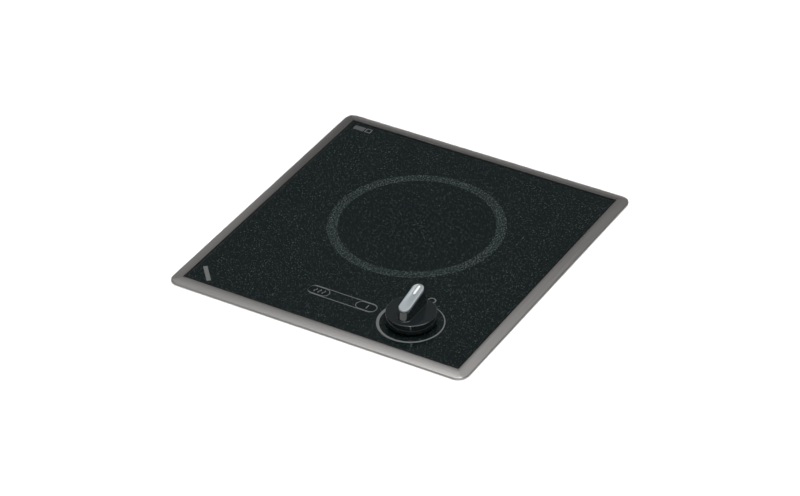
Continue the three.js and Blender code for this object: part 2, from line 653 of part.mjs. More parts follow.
// The gland lies along Y: head outside the back wall, neck through it.
function cableGland() {
  const { boreR, neckR, headR } = GLAND;
  const outside = BOX_Y + GAP;
  return turned([
    [boreR, BOX_Y - 8], [neckR, BOX_Y - 8], [neckR, outside], [headR, outside], [headR, outside + 4],
    [headR - 2, outside + 7], [boreR, outside + 7], [boreR, BOX_Y - 8],
  ], 24).rotateX(-Math.PI / 2).translate(0, 0, GLAND.z);
}

function glandNut() {
  const inside = BOX_Y - SHEET - GAP;
  const hole = rod(GLAND.neckR + 0.2, inside - 6, inside + 2, 24);
  const nut = cut(rod(GLAND.nutR, inside - 4, inside, 6), hole);
  return nut.rotateX(-Math.PI / 2).translate(0, 0, GLAND.z);
}

// Routes of the inner wires, from end to end.
const WIRES = {
  wire_supply_to_regulator: [
    [97, 97, 9], [107, 84, 6], [112, 20, 5], [108, -40, 5], [93, -72, 5], [85, -90, 7], [85, -105, 8],
  ],
  wire_supply_to_element: [
    [76, 97, 8], [92, 78, 4], [99, 20, 4], [95, -30, 4], [68, -60, 8], [30, -82, 20],
    [0, -88, 32], [-8, -83, 40], [-8, -77, 40],
  ],
  wire_regulator_to_element: [
    [57.3, -105, 8], [57.3, -94, 8], [44, -80, 14], [24, -92, 30], [9, -88, 41], [8, -82, 43],
    [8, -77, 43],
  ],
  wire_hot_lamp: [
    [HOT_LAMP_X, LAMP_Y, 29.7], [HOT_LAMP_X, LAMP_Y, 24], [-34, -103, 18], [-55, -95, 18],
    [-88, -65, 24], [-112, -25, 34], [-105, 12.8, 44],
  ],
  wire_on_lamp: [
    [ON_LAMP_X, LAMP_Y, 29.7], [ON_LAMP_X, LAMP_Y, 24], [30, -120, 14], [37, -130.5, 9],
    [46, -131.5, 8], [56, -126, 8], [57.3, -108, 8],
  ],
};

function addWiring() {
  add('mains_terminal_block', mainsTerminalBlock(), 'ceramic', BLOCK.x, BLOCK.y);
  const earthScrew = screwDown(4, SCREW_SHANK_R, FLOOR_TOP_Z + GAP + 2.6, 2.6, 0.1);
  add('earth_screw', earthScrew, 'brass', ...EARTH_SCREW);
  add('cable_gland', cableGland(), 'blackMatte', GLAND.x);
  add('gland_nut', glandNut(), 'blackMatte', GLAND.x);
  for (const [name, points] of Object.entries(WIRES)) {
    const path = new THREE.CatmullRomCurve3(points.map((point) => new THREE.Vector3(...point)));
    add(name, tube(path, 1.4, 20), 'wire');
  }
}

// ---------------------------------------------------------------- hold-down clamps

function clampBracket(side) {
  const [back, tip] = [BOX_X + GAP, CLAMP_AXIS_X + 4.5];
  const [low, high, t] = [4, 45.2, 1.2];
  const outline = [
    [back, low], [tip, low], [tip, low + t], [back + SHEET, low + t],
    [back + SHEET, high - t], [tip, high - t], [tip, high], [back, high],
  ];
  const bent = drilled(strip(outline, 16), [[CLAMP_AXIS_X, 0]], SCREW_HOLE_R, 0, 50);
  return bent.scale(side, 1, 1);
}

function clampNut() {
  const { nutBottom, armBottom, armThickness } = CLAMP;
  const square = box([-4, -4, nutBottom], [4, 4, armBottom - GAP]);
  const collared = join(square, rod(3.2, armBottom - 1, armBottom + armThickness + 0.4, 20));
  return cut(collared, rod(SCREW_SHANK_R + 0.12, nutBottom - 1, armBottom + 5, 20));
}

function clampArm() {
  const { armBottom, armThickness, armLength, armR } = CLAMP;
  const flat = plate(slotShape(armR, -armR, armLength), armBottom, armBottom + armThickness);
  return cut(flat, rod(3.35, armBottom - 1, armBottom + armThickness + 1, 20));
}

function addClamps() {
  for (const [name, side] of [['left', -1], ['right', 1]]) {
    const x = side * CLAMP_AXIS_X;
    add(`clamp_bracket_${name}`, clampBracket(side), 'galvanised');
    add(`clamp_screw_${name}`, screwUp(3.9, SCREW_SHANK_R, 0.8, 3, 47), 'steel', x);
    add(`clamp_nut_${name}`, clampNut(), 'steel', x);
    add(`clamp_arm_${name}`, clampArm(), 'steel', x);
  }
}

// ---------------------------------------------------------------- build

addEnclosure();
addElement();
const control = new THREE.Group();
control.position.set(KNOB.x, KNOB.y, 0);
group.add(control);
addRegulator(control);
addKnob(control);
addLamps();
addWiring();
addClamps();

export default group;
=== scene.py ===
"""Built-in hot plate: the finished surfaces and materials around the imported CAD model.

Run as a script. Every piece is worked out in metres in the frame of the CAD model.
"""

import json
import math

import bmesh
import bpy
import numpy as np
from mathutils import Matrix, Vector


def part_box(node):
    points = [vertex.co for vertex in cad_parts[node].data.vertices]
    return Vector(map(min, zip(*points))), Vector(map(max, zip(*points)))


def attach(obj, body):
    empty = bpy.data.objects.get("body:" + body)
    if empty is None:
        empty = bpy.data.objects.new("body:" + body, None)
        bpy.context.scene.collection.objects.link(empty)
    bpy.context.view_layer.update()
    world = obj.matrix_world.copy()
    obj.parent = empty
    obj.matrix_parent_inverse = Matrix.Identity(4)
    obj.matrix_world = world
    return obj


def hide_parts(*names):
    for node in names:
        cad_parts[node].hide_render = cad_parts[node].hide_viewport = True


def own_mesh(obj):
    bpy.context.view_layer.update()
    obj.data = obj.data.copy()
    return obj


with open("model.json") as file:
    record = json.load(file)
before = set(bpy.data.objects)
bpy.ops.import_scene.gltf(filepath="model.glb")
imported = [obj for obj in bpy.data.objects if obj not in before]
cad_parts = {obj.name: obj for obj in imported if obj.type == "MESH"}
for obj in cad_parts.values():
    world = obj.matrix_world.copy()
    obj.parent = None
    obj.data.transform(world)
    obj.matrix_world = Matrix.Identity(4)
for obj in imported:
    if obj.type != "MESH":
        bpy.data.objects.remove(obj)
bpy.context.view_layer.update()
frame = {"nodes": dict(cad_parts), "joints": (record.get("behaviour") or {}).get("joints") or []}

bl_info = {
    "name": "Built-in Hot Plate",
    "version": (1, 0, 0),
    "blender": (4, 5, 0),
    "location": "View3D > Sidebar > Hot Plate",
    "description": "Builds the trim, glass, print, knob and inner parts of a built-in hot plate",
    "category": "Add Mesh",
}

MM = 0.001

# ---------------------------------------------------------------- places read from the frame


def corner_mm(node, which):
    """A CAD node's lowest (0) or highest (1) corner, in millimetres."""
    return np.array(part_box(node)[which]) / MM


def joint_point_mm(name):
    """The point that a hinge turns about, in millimetres."""
    joint = next(j for j in frame["joints"] if j["name"] == name)
    return np.array(joint["pos_m"]) / MM


TRIM_LOW, TRIM_HIGH = corner_mm("trim_frame", 0), corner_mm("trim_frame", 1)
HALF_X, HALF_Y = TRIM_HIGH[0], TRIM_HIGH[1]
WORKTOP_Z = corner_mm("trim_gasket", 0)[2]
GLASS_LOW, GLASS_HIGH = corner_mm("glass_top", 0), corner_mm("glass_top", 1)
GLASS_Z = GLASS_HIGH[2]
ZONE = (corner_mm("element_dish", 0) + corner_mm("element_dish", 1)) / 2
KNOB = joint_point_mm("knob_turn")
KNOB_LOW, KNOB_HIGH = corner_mm("knob_body", 0), corner_mm("knob_body", 1)
CAP_LOW, CAP_HIGH = corner_mm("knob_cap", 0), corner_mm("knob_cap", 1)
HOT_WINDOW = (corner_mm("hot_lens", 0) + corner_mm("hot_lens", 1)) / 2
ON_WINDOW = (corner_mm("on_lens", 0) + corner_mm("on_lens", 1)) / 2


# ---------------------------------------------------------------- settings


def length(name, description, default):
    """A length property, given in millimetres."""
    return bpy.props.FloatProperty(
        name=name, description=description, default=default * MM, unit="LENGTH", subtype="DISTANCE"
    )


def colour(name, description, default):
    """A linear colour property."""
    return bpy.props.FloatVectorProperty(
        name=name, description=description, default=default, size=3, subtype="COLOR", min=0, max=1
    )


def factor(name, description, default, top=1.0):
    """A plain number property from 0 to top."""
    return bpy.props.FloatProperty(name=name, description=description, default=default, min=0, max=top)


class TrimSettings(bpy.types.PropertyGroup):
    bevel: length("Bevel Width", "Width of the sloping face, and radius of the outer corners", 11)
    lip: length("Lip Height", "Height of the upright outer lip", 1.45)
    sheet: length("Sheet", "Thickness of the steel", 1)
    edge: length("Edge Radius", "Rounding between the sloping face and the lip", 0.9)
    swell: length("Swell", "How far the middle of the sloping face stands above a straight slope", 0.26)
    steel: colour("Steel", "Colour of the brushed steel", (0.375, 0.365, 0.355))
    roughness: factor("Roughness", "Roughness of the brushed steel", 0.34)


class GlassSettings(bpy.types.PropertyGroup):
    arris: length("Arris", "Width of the ground edge of the glass", 0.5)
    body: colour("Body", "Colour of the glass between the speckles", (0.0045, 0.0078, 0.0080))
    speckle: colour("Speckle", "Colour of the printed speckles", (0.16, 0.20, 0.20))
    ring_outer: length("Ring Outer Radius", "Outer radius of the printed cooking ring", 82.3)
    ring_inner: length("Ring Inner Radius", "Inner radius of the printed cooking ring", 72.6)


class PrintSettings(bpy.types.PropertyGroup):
    ink: colour("Ink", "Colour of the printed lines", (0.115, 0.12, 0.118))
    line: length("Line", "Width of the printed outlines", 0.8)
    film: length("Film", "Thickness of the print above the glass", 0.05)
    scale_radius: length("Scale Radius", "Outer radius of the power scale round the knob", 30.4)


class KnobSettings(bpy.types.PropertyGroup):
    skirt: length("Skirt Height", "Height of the skirt's upper face above the glass", 12.1)
    rim: length("Rim Radius", "Rounding of the skirt's upper edge", 0.6)
    fillet: length("Fillet", "Fillet between the skirt and the grip", 0.5)
    black: colour("Black", "Colour of the moulded knob", (0.0090, 0.0128, 0.0138))
    silver: colour("Silver", "Colour of the lacquered cap", (0.30, 0.335, 0.35))


class StageSettings(bpy.types.PropertyGroup):
    floor: colour("Floor", "Colour of the worktop and the floor", (0.93, 0.93, 0.925))
    key: factor("Key Light", "Power of the overhead softbox in watts", 42, 500)
    daylight: factor("Daylight", "Strength of the wide sun on matt surfaces", 2.7, 10)
    backdrop: factor("Backdrop", "Brightness of the surroundings", 1.0, 10)


# ---------------------------------------------------------------- surfaces


def grid_faces(rows, columns, wrap_rows, wrap_columns):
    """Quads between neighbouring points of a grid, whose rows and columns may close on themselves."""
    last_row = rows if wrap_rows else rows - 1
    last_column = columns if wrap_columns else columns - 1
    i, j = np.meshgrid(np.arange(last_row), np.arange(last_column), indexing="ij")
    low, high = i * columns, (i + 1) % rows * columns
    here, there = j, (j + 1) % columns
    return np.stack([low + here, low + there, high + there, high + here], -1).reshape(-1, 4)


def finished(name, mesh, body, slot, material, replaced=(), sharp=35):
    """Merges doubled points, turns the faces outwards, shades the mesh and makes it a piece of the object."""
    shape = bmesh.new()
    shape.from_mesh(mesh)
    bmesh.ops.remove_doubles(shape, verts=shape.verts, dist=1e-7)
    bmesh.ops.dissolve_degenerate(shape, edges=shape.edges, dist=1e-7)
    bmesh.ops.recalc_face_normals(shape, faces=shape.faces)
    shape.to_mesh(mesh)
    shape.free()
    mesh.shade_smooth()
    mesh.set_sharp_from_angle(angle=math.radians(sharp))
    piece = bpy.data.objects.new(name, mesh)
    bpy.context.scene.collection.objects.link(piece)
    mesh.materials.append(material)
    if replaced:
        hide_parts(*replaced)
    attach(piece, body)
    return piece


def surface(name, grids, **options):
    """One mesh from several grids of points in millimetres, each (points, wrap_rows, wrap_columns).

    A grid's first and last rows are capped where its rows do not wrap."""
    points, faces, count = [], [], 0
    for grid, wrap_rows, wrap_columns in grids:
        rows, columns = grid.shape[:2]
        faces += (grid_faces(rows, columns, wrap_rows, wrap_columns) + count).tolist()
        if not wrap_rows:
            faces.append(list(range(count + columns - 1, count - 1, -1)))
            faces.append(list(range(count + (rows - 1) * columns, count + rows * columns)))
        points.append(grid.reshape(-1, 3))
        count += rows * columns
    mesh = bpy.data.meshes.new(name)
    mesh.from_pydata((np.concatenate(points) * MM).tolist(), [], faces)
    return finished(name, mesh, **options)


def arc(centre, radius, start, end, steps=7):
    """Points of an arc in a plane: centre plus radius times (cosine, sine) of evenly spaced degrees."""
    angle = np.radians(np.linspace(start, end, steps))
    return np.asarray(centre) + radius * np.stack([np.cos(angle), np.sin(angle)], -1)


def profile(*parts):
    """One list of points from single points and arcs."""
    return np.concatenate([np.atleast_2d(np.asarray(part, float)) for part in parts])


def revolved(points, steps=96):
    """Each (radius, height) point carried round the Z axis, as (r cos a, r sin a, height).

    The rows run along the profile."""
    angle = np.linspace(0, 2 * np.pi, steps, endpoint=False)
    r, z = points[:, :1], points[:, 1:]
    return np.stack([r * np.cos(angle), r * np.sin(angle), z + 0 * angle], -1)


def slot_outline(half_width, y0, y1, offset=0.0, arc_steps=24, side_steps=8):
    """A slot along Y with round ends, as points in order, moved outwards by offset.

    Each end is half a circle about the point half a width inside it, and the sides are straight."""
    r = half_width + offset
    back = arc((0, y1 - half_width), r, 0, 180, arc_steps)
    front = arc((0, y0 + half_width), r, 180, 360, arc_steps)
    share = np.linspace(0, 1, side_steps + 2)[1:-1, None]
    left = back[-1] * (1 - share) + front[0] * share
    right = front[-1] * (1 - share) + back[0] * share
    return np.concatenate([back, left, front, right])


def rounded_outline(half_x, half_y, radius, steps=12):
    """A rectangle with round corners: a quarter circle about each corner's centre, and straight sides."""
    x, y = half_x - radius, half_y - radius
    centres = [((x, y), 0), ((-x, y), 90), ((-x, -y), 180), ((x, -y), 270)]
    return np.concatenate([arc(c, radius, start, start + 90, steps) for c, start in centres])


def flat_band(inner, outer, low, high):
    """A flat closed band between two outlines of equally many points, from height low to height high."""
    ring = [(inner, low), (inner, high), (outer, high), (outer, low)]
    return np.stack([np.column_stack([xy, np.full(len(xy), z)]) for xy, z in ring])


# ---------------------------------------------------------------- material nodes


class Shader:
    """A material's node tree with one Principled shader, and short calls that add nodes to it."""

    def __init__(self, name, roughness=0.5, metallic=0.0, **constants):
        self.material = bpy.data.materials.new(name)
        self.material.use_nodes = True
        self.tree = self.material.node_tree
        self.shader = self.tree.nodes["Principled BSDF"]
        self.shader.inputs["Roughness"].default_value = roughness
        self.shader.inputs["Metallic"].default_value = metallic
        for socket, value in constants.items():
            self.shader.inputs[socket.replace("_", " ")].default_value = value
        self.place = self.tree.nodes.new("ShaderNodeTexCoord").outputs["Object"]

    def node(self, kind, output=0, values=(), **settings):
        made = self.tree.nodes.new(kind)
        for key, value in settings.items():
            setattr(made, key, value)
        for socket, value in dict(values).items():
            self.put(made.inputs[socket], value)
        return made.outputs[output]

    def put(self, socket, value):
        if isinstance(value, bpy.types.NodeSocket):
            self.tree.links.new(value, socket)
        else:
            socket.default_value = value

    def set(self, name, value):
        self.put(self.shader.inputs[name], value)

    def math(self, operation, *values, clamp=False):
        return self.node("ShaderNodeMath", 0, enumerate(values), operation=operation, use_clamp=clamp)

    def vector(self, operation, *values, output=0):
        return self.node("ShaderNodeVectorMath", output, enumerate(values), operation=operation)

    def axes(self, vector=None):
        split = self.tree.nodes.new("ShaderNodeSeparateXYZ")
        self.put(split.inputs[0], self.place if vector is None else vector)
        return split.outputs

    def stretched(self, scale, location=(0, 0, 0)):
        values = {"Vector": self.place, "Scale": scale, "Location": location}
        return self.node("ShaderNodeMapping", 0, values)

    def noise(self, scale, detail=2.0, vector=None, roughness=0.5):
        values = {"Vector": self.place if vector is None else vector, "Scale": scale, "Detail": detail,
                  "Roughness": roughness}
        return self.node("ShaderNodeTexNoise", "Fac", values)

    def smooth(self, value, low, high, to_low=0.0, to_high=1.0):
        values = {"Value": value, "From Min": low, "From Max": high, "To Min": to_low, "To Max": to_high}
        return self.node("ShaderNodeMapRange", "Result", values, interpolation_type="SMOOTHSTEP")

    def mix(self, share, first, second):
        made = self.tree.nodes.new("ShaderNodeMix")
        made.data_type = "RGBA"
        for socket, value in ((0, share), (6, first), (7, second)):
            self.put(made.inputs[socket], value)
        return made.outputs[2]

    def bump(self, height, distance, strength=1.0):
        values = {"Height": height, "Distance": distance, "Strength": strength}
        self.set("Normal", self.node("ShaderNodeBump", 0, values))


def rgba(rgb, scale=1.0):
    """A colour with full alpha, its brightness scaled."""
    return (*[min(1.0, channel * scale) for channel in rgb], 1.0)


def mottled(shader, rgb, scale, spread=0.15):
    """Colour that wanders a little about rgb, at scale waves per metre."""
    shade = shader.noise(scale, 4)
    shader.set("Base Color", shader.mix(shade, rgba(rgb, 1 - spread), rgba(rgb, 1 + spread)))


def trim_steel(settings):
    """Steel brushed along each rail, with the grain turned at the mitres."""
    s = Shader("brushed_trim_steel", metallic=1.0)
    x, y, _ = s.axes()
    from_side = s.math("SUBTRACT", HALF_X * MM, s.math("ABSOLUTE", x))
    from_end = s.math("SUBTRACT", HALF_Y * MM, s.math("ABSOLUTE", y))
    on_side = s.math("LESS_THAN", from_side, from_end)
    along_x = s.noise(1.0, 3, s.stretched((14, 2600, 2600)))
    along_y = s.noise(1.0, 3, s.stretched((2600, 14, 2600)))
    grain = s.node("ShaderNodeMix", 0, {0: on_side, 2: along_x, 3: along_y})
    cloud = s.noise(22, 2)
    base = s.mix(s.math("MULTIPLY", grain, 0.85), rgba(settings.steel, 0.74), rgba(settings.steel, 1.22))
    warm = s.mix(s.math("MULTIPLY", cloud, 0.35), base, rgba((0.40, 0.385, 0.37)))
    s.set("Base Color", warm)
    spread = s.math("MULTIPLY_ADD", grain, 0.10, settings.roughness - 0.05)
    s.set("Roughness", spread)
    s.bump(grain, 0.00002, 0.35)
    return s.material


RING_CENTRE = ZONE[:2] + (0.4, -0.3)
RING_BLUR = 0.0004  # half the width of the ring's soft edges, in metres
FINE_DOTS = (0.0013, 0.00050)  # cell and largest radius of the two sizes of speckle, in metres
BOLD_DOTS = (0.0023, 0.00062)


def speckled_glass(settings, windows):
    """Black glass-ceramic with fine printed speckles, a denser ring and clear lamp windows."""
    s = Shader("speckled_black_glass", roughness=0.06, IOR=1.52, Specular_IOR_Level=0.36)
    flat = s.vector("MULTIPLY", s.place, (1, 1, 0))
    from_zone = s.vector("DISTANCE", flat, (RING_CENTRE[0] * MM, RING_CENTRE[1] * MM, 0), output="Value")
    inside = s.smooth(from_zone, settings.ring_outer + RING_BLUR, settings.ring_outer - RING_BLUR)
    core = s.smooth(from_zone, settings.ring_inner + RING_BLUR, settings.ring_inner - RING_BLUR)
    band = s.math("SUBTRACT", inside, core)

    def dots(cell, radius, keep, seed):
        """Round dots, one in each cell of a Voronoi pattern, and only keep of them with random brightness."""
        shifted = s.vector("ADD", flat, (seed, seed * 1.7, 0.0))
        cells = s.tree.nodes.new("ShaderNodeTexVoronoi")
        cells.voronoi_dimensions = "2D"
        s.put(cells.inputs["Vector"], shifted)
        cells.inputs["Scale"].default_value = 1 / cell
        chance, shade, size = s.node("ShaderNodeSeparateColor", 0, {0: cells.outputs["Color"]}).node.outputs
        reach = s.math("MULTIPLY", s.math("MULTIPLY_ADD", size, 0.6, 0.5), radius / cell)
        dot = s.smooth(s.math("DIVIDE", cells.outputs["Distance"], reach), 1.3, 0.5)
        shown = s.math("LESS_THAN", chance, keep)
        return s.math("MULTIPLY", s.math("MULTIPLY", dot, shown), s.math("POWER", shade, 1.4))

    keep_fine = s.math("ADD", s.math("MULTIPLY_ADD", band, 0.40, 0.60), s.math("MULTIPLY", core, -0.14))
    keep_bold = s.math("ADD", s.math("MULTIPLY_ADD", band, 0.34, 0.15), s.math("MULTIPLY", core, -0.12))
    fine = dots(*FINE_DOTS, keep_fine, 0.31)
    bold = dots(*BOLD_DOTS, keep_bold, 0.77)
    strength = s.math("MULTIPLY_ADD", band, 0.26, 0.24)
    speckles = s.math("ADD", s.math("MULTIPLY", fine, strength), s.math("MULTIPLY", bold, 0.30), clamp=True)
    x, y, _ = s.axes()
    for left, right, middle, radius in windows:
        nearest = s.math("MINIMUM", s.math("MAXIMUM", x, left + radius), right - radius)
        gap = s.math("POWER", s.math("SUBTRACT", x, nearest), 2.0)
        reach = s.math("SQRT", s.math("ADD", gap, s.math("POWER", s.math("SUBTRACT", y, middle), 2.0)))
        speckles = s.math("MULTIPLY", speckles, s.math("GREATER_THAN", reach, radius))
    printed = s.math("MULTIPLY_ADD", band, 0.055, speckles, clamp=True)
    cloud = s.mix(s.noise(30, 3), rgba(settings.body, 0.85), rgba(settings.body, 1.2))
    s.set("Base Color", s.mix(printed, cloud, rgba(settings.speckle)))
    s.set("Roughness", s.math("MULTIPLY_ADD", printed, 0.25, 0.05))
    return s.material


def ink_material(settings, density=1.0, name="printed_enamel"):
    """Enamel print, matte against the glass, slightly uneven in density."""
    s = Shader(name, roughness=0.45)
    grain = s.noise(2600, 2)
    s.set("Base Color", s.mix(grain, rgba(settings.ink, 0.75 * density), rgba(settings.ink, 1.2 * density)))
    return s.material


def moulded(name, rgb, roughness, bump=0.15, coat=0.0):
    """Moulded plastic: even colour with a faint flow pattern and a very fine skin."""
    s = Shader(name, Coat_Weight=coat, Coat_Roughness=0.04)
    mottled(s, rgb, 60, 0.12)
    skin = s.noise(900, 3)
    s.set("Roughness", s.math("MULTIPLY_ADD", skin, 0.08, roughness - 0.04))
    s.bump(s.noise(1500, 2), 0.00001, bump)
    return s.material


def lacquer(settings):
    """Silver lacquer: a metallic satin with fine flakes."""
    s = Shader("silver_lacquer", metallic=0.3)
    flake = s.noise(5200, 1)
    s.set("Base Color", s.mix(flake, rgba(settings.silver, 0.85), rgba(settings.silver, 1.15)))
    s.set("Roughness", s.math("MULTIPLY_ADD", flake, 0.12, 0.30))
    s.bump(flake, 0.000006, 0.3)
    return s.material


def zinc_sheet(name, rgb, roughness=0.42):
    """Galvanised sheet: crystal patches of slightly different brightness, and rolling lines."""
    s = Shader(name, metallic=1.0)
    cells = s.tree.nodes.new("ShaderNodeTexVoronoi")
    s.put(cells.inputs["Vector"], s.place)
    cells.inputs["Scale"].default_value = 220
    patch = s.node("ShaderNodeSeparateColor", 0, {0: cells.outputs["Color"]})
    lines = s.noise(1.0, 2, s.stretched((30, 1200, 30)))
    shade = s.math("MULTIPLY_ADD", lines, 0.4, s.math("MULTIPLY", patch, 0.45))
    s.set("Base Color", s.mix(shade, rgba(rgb, 0.78), rgba(rgb, 1.15)))
    s.set("Roughness", s.math("MULTIPLY_ADD", patch, 0.16, roughness - 0.08))
    s.bump(lines, 0.00002, 0.25)
    return s.material


def plated(name, rgb, roughness=0.3):
    """Bright plated metal with turning marks and faint stains."""
    s = Shader(name, metallic=1.0)
    marks = s.noise(1.0, 2, s.stretched((200, 200, 2400)))
    stain = s.noise(160, 3)
    s.set("Base Color", s.mix(s.math("MULTIPLY", marks, stain), rgba(rgb, 0.8), rgba(rgb, 1.2)))
    s.set("Roughness", s.math("MULTIPLY_ADD", stain, 0.2, roughness - 0.08))
    s.bump(marks, 0.00001, 0.3)
    return s.material


def pressed_fibre():
    """Pressed ceramic fibre: pale, matte, pitted and softly uneven."""
    s = Shader("pressed_ceramic_fibre", roughness=0.95)
    mottled(s, (0.80, 0.77, 0.70), 45, 0.1)
    pits = s.noise(700, 5, roughness=0.7)
    s.bump(pits, 0.0004, 0.6)
    return s.material


def oxidised_alloy():
    """Resistance alloy darkened by heat, browner and greyer in turn."""
    s = Shader("oxidised_heating_alloy", metallic=0.8)
    shade = s.noise(300, 4)
    s.set("Base Color", s.mix(shade, rgba((0.20, 0.16, 0.14)), rgba((0.40, 0.36, 0.33))))
    s.set("Roughness", s.math("MULTIPLY_ADD", shade, 0.25, 0.45))
    s.bump(shade, 0.00003, 0.4)
    return s.material


def glazed(name, rgb):
    """Glazed steatite: smooth, with a slightly wavy glaze."""
    s = Shader(name, roughness=0.22, Coat_Weight=0.5, Coat_Roughness=0.08)
    mottled(s, rgb, 90, 0.06)
    s.bump(s.noise(160, 2), 0.00008, 0.3)
    return s.material


def elastomer(name, rgb, roughness=0.7, pores=0.0):
    """Silicone or foam rubber: matte, with fine pores where it is foam."""
    s = Shader(name)
    mottled(s, rgb, 120, 0.18)
    fine = s.noise(1800 if not pores else 700, 4)
    s.set("Roughness", s.math("MULTIPLY_ADD", fine, 0.15, roughness - 0.08))
    s.bump(fine, 0.00003 + pores * 0.0003, 0.4)
    return s.material


def translucent_lens():
    """Tinted diffusing plastic of an unlit lamp."""
    s = Shader("amber_lamp_plastic", roughness=0.2, IOR=1.49, Subsurface_Weight=0.2)
    mottled(s, (0.42, 0.10, 0.03), 150, 0.15)
    s.bump(s.noise(500, 2), 0.00003, 0.3)
    return s.material


# ---------------------------------------------------------------- trim


def trim_grid(t):
    """The steel frame as one closed skin.

    Round the outline, a point lies on the straight sides or on the quarter circles at the corners, whose
    centres are the corners of the glass opening. Across the frame, the sloping face's height grows with the
    distance to the nearer straight side, which leaves a crease at each mitre. The lip, the rolled edge, the
    inner leg and the ledge under the glass follow at fixed distances from the outline."""
    bevel, lip, sheet, edge = (v / MM for v in (t.bevel, t.lip, t.sheet, t.edge))
    slope = (TRIM_HIGH[2] - WORKTOP_Z - lip) / bevel
    quarter = np.linspace(0, 90, 21)
    centres = [(1, -1), (1, 1), (-1, 1), (-1, -1)]
    starts = [270, 0, 90, 180]
    turn = np.radians(np.concatenate([start + quarter for start in starts]))
    sign = np.repeat(np.array(centres, float), len(quarter), 0)
    ray = np.stack([np.cos(turn), np.sin(turn)], -1)
    long_side = np.abs(ray).max(1)

    def at(inset):
        """Outline points moved inwards, on the rays to the corner's centre or beyond it on the mitre."""
        centre = sign * (np.array([HALF_X, HALF_Y]) - bevel)
        return centre + ray * max(bevel - inset, 0) - sign * max(inset - bevel, 0)

    def face(inset):
        """Height of the sloping face at that inset: a straight slope with a slight swell in its middle."""
        across = bevel - (bevel - inset) * long_side
        return WORKTOP_Z + lip + slope * across + 4 * t.swell / MM * across / bevel * (1 - across / bevel)

    def row(inset, height):
        return np.column_stack([at(inset), np.broadcast_to(height, len(turn))])

    roll = np.radians(np.linspace(0, 90, 7))
    rows = [row(0, WORKTOP_Z)]
    for angle in roll:
        inset = edge * (1 - math.cos(angle))
        rows.append(row(inset, face(inset) - edge * 0.8 * (1 - math.sin(angle))))
    for inset in np.linspace(edge * 1.6, bevel - 0.3, 6):
        rows.append(row(inset, face(inset)))
    for angle in np.radians([30, 60, 90]):
        rows.append(row(bevel - 0.3 + 0.3 * math.sin(angle), face(bevel) - 0.3 * (1 - math.cos(angle))))
    ledge_end = HALF_X - corner_mm("burner_box", 1)[0] + 8.85
    low = TRIM_LOW[2]
    rows += [row(bevel, low + sheet + 0.3), row(bevel + 0.3, low + sheet), row(ledge_end, low + sheet)]
    rows += [row(ledge_end, low), row(bevel - sheet + 0.3, low), row(bevel - sheet, low + 0.3)]
    for inset in np.linspace(bevel - sheet, sheet, 4):
        rows.append(row(inset, face(inset) - sheet * math.hypot(1, slope)))
    rows.append(row(sheet, WORKTOP_Z))
    return np.stack(rows)


class HOTPLATE_OT_trim(bpy.types.Operator):
    """Make the bevelled steel frame round the glass"""

    bl_idname = "hotplate.trim"
    bl_label = "Trim Frame"

    def execute(self, context):
        settings = context.scene.hotplate_trim
        surface("steel_trim_frame", [(trim_grid(settings), True, True)], body="hob", slot="brushed_trim",
                material=trim_steel(settings), replaced=["trim_frame"], sharp=12)
        return {"FINISHED"}


# ---------------------------------------------------------------- glass

GLASS_CORNER, SHAFT_HOLE = 1.5, 6.5  # radii
WINDOW_RADIUS = 5.3


def side_shares():
    """For each side of the plate, the shares of its length where rays from the shaft's axis meet it.

    The rays are evenly turned. Each share is one cross product over another: the side's start seen from the
    axis with the ray, over the side with the ray."""
    arcs = rounded_outline(GLASS_HIGH[0], GLASS_HIGH[1], GLASS_CORNER, 6).reshape(4, 6, 2)
    shares = []
    for start, end in zip(arcs[:, -1], np.roll(arcs, -1, 0)[:, 0]):
        first, last = (np.arctan2(*(point - KNOB[:2])[::-1]) for point in (start, end))
        turn = (last - first) % (2 * np.pi)
        angle = first + turn * np.linspace(0, 1, max(3, round(math.degrees(turn) / 5)))[1:-1]
        ray, side, offset = np.stack([np.cos(angle), np.sin(angle)], -1), end - start, KNOB[:2] - start
        reach = offset[0] * ray[:, 1] - offset[1] * ray[:, 0]
        shares.append(reach / (side[0] * ray[:, 1] - side[1] * ray[:, 0]))
    return shares


def plate_outline(inset, shares):
    """The plate's outline moved inwards: round corners, and points at the given shares of each side."""
    arcs = rounded_outline(GLASS_HIGH[0] - inset, GLASS_HIGH[1] - inset, GLASS_CORNER, 6).reshape(4, 6, 2)
    sides = zip(arcs[:, -1], np.roll(arcs, -1, 0)[:, 0], shares)
    parts = [start + (end - start) * share[:, None] for start, end, share in sides]
    return np.concatenate([part for pair in zip(arcs, parts) for part in pair])


def glass_grid(settings):
    """The plate with its hole, its rows from the hole's wall over the top, round the edge and back below.

    The hole's points are evenly spaced, and each is paired in order with a point of the outline."""
    arris = settings.arris / MM
    shares = side_shares()
    count = len(plate_outline(0, shares))
    first = plate_outline(0, shares)[0] - KNOB[:2]
    turn = math.atan2(first[1], first[0]) + np.linspace(0, 2 * np.pi, count, endpoint=False)

    def hole(extra):
        return KNOB[:2] + (SHAFT_HOLE + extra) * np.stack([np.cos(turn), np.sin(turn)], -1)

    def edge(inset):
        return plate_outline(inset, shares)

    low, high = GLASS_LOW[2], GLASS_Z
    levels = [
        (hole(0), low + arris), (hole(0), high - arris), (hole(arris * 0.3), high - arris * 0.3),
        (hole(arris), high), (hole(2), high), (edge(2), high), (edge(arris), high),
        (edge(arris * 0.3), high - arris * 0.3), (edge(0), high - arris), (edge(0), low + arris),
        (edge(arris), low), (edge(2), low), (hole(2), low), (hole(arris), low),
    ]
    return np.stack([np.column_stack([xy, np.full(len(xy), z)]) for xy, z in levels])


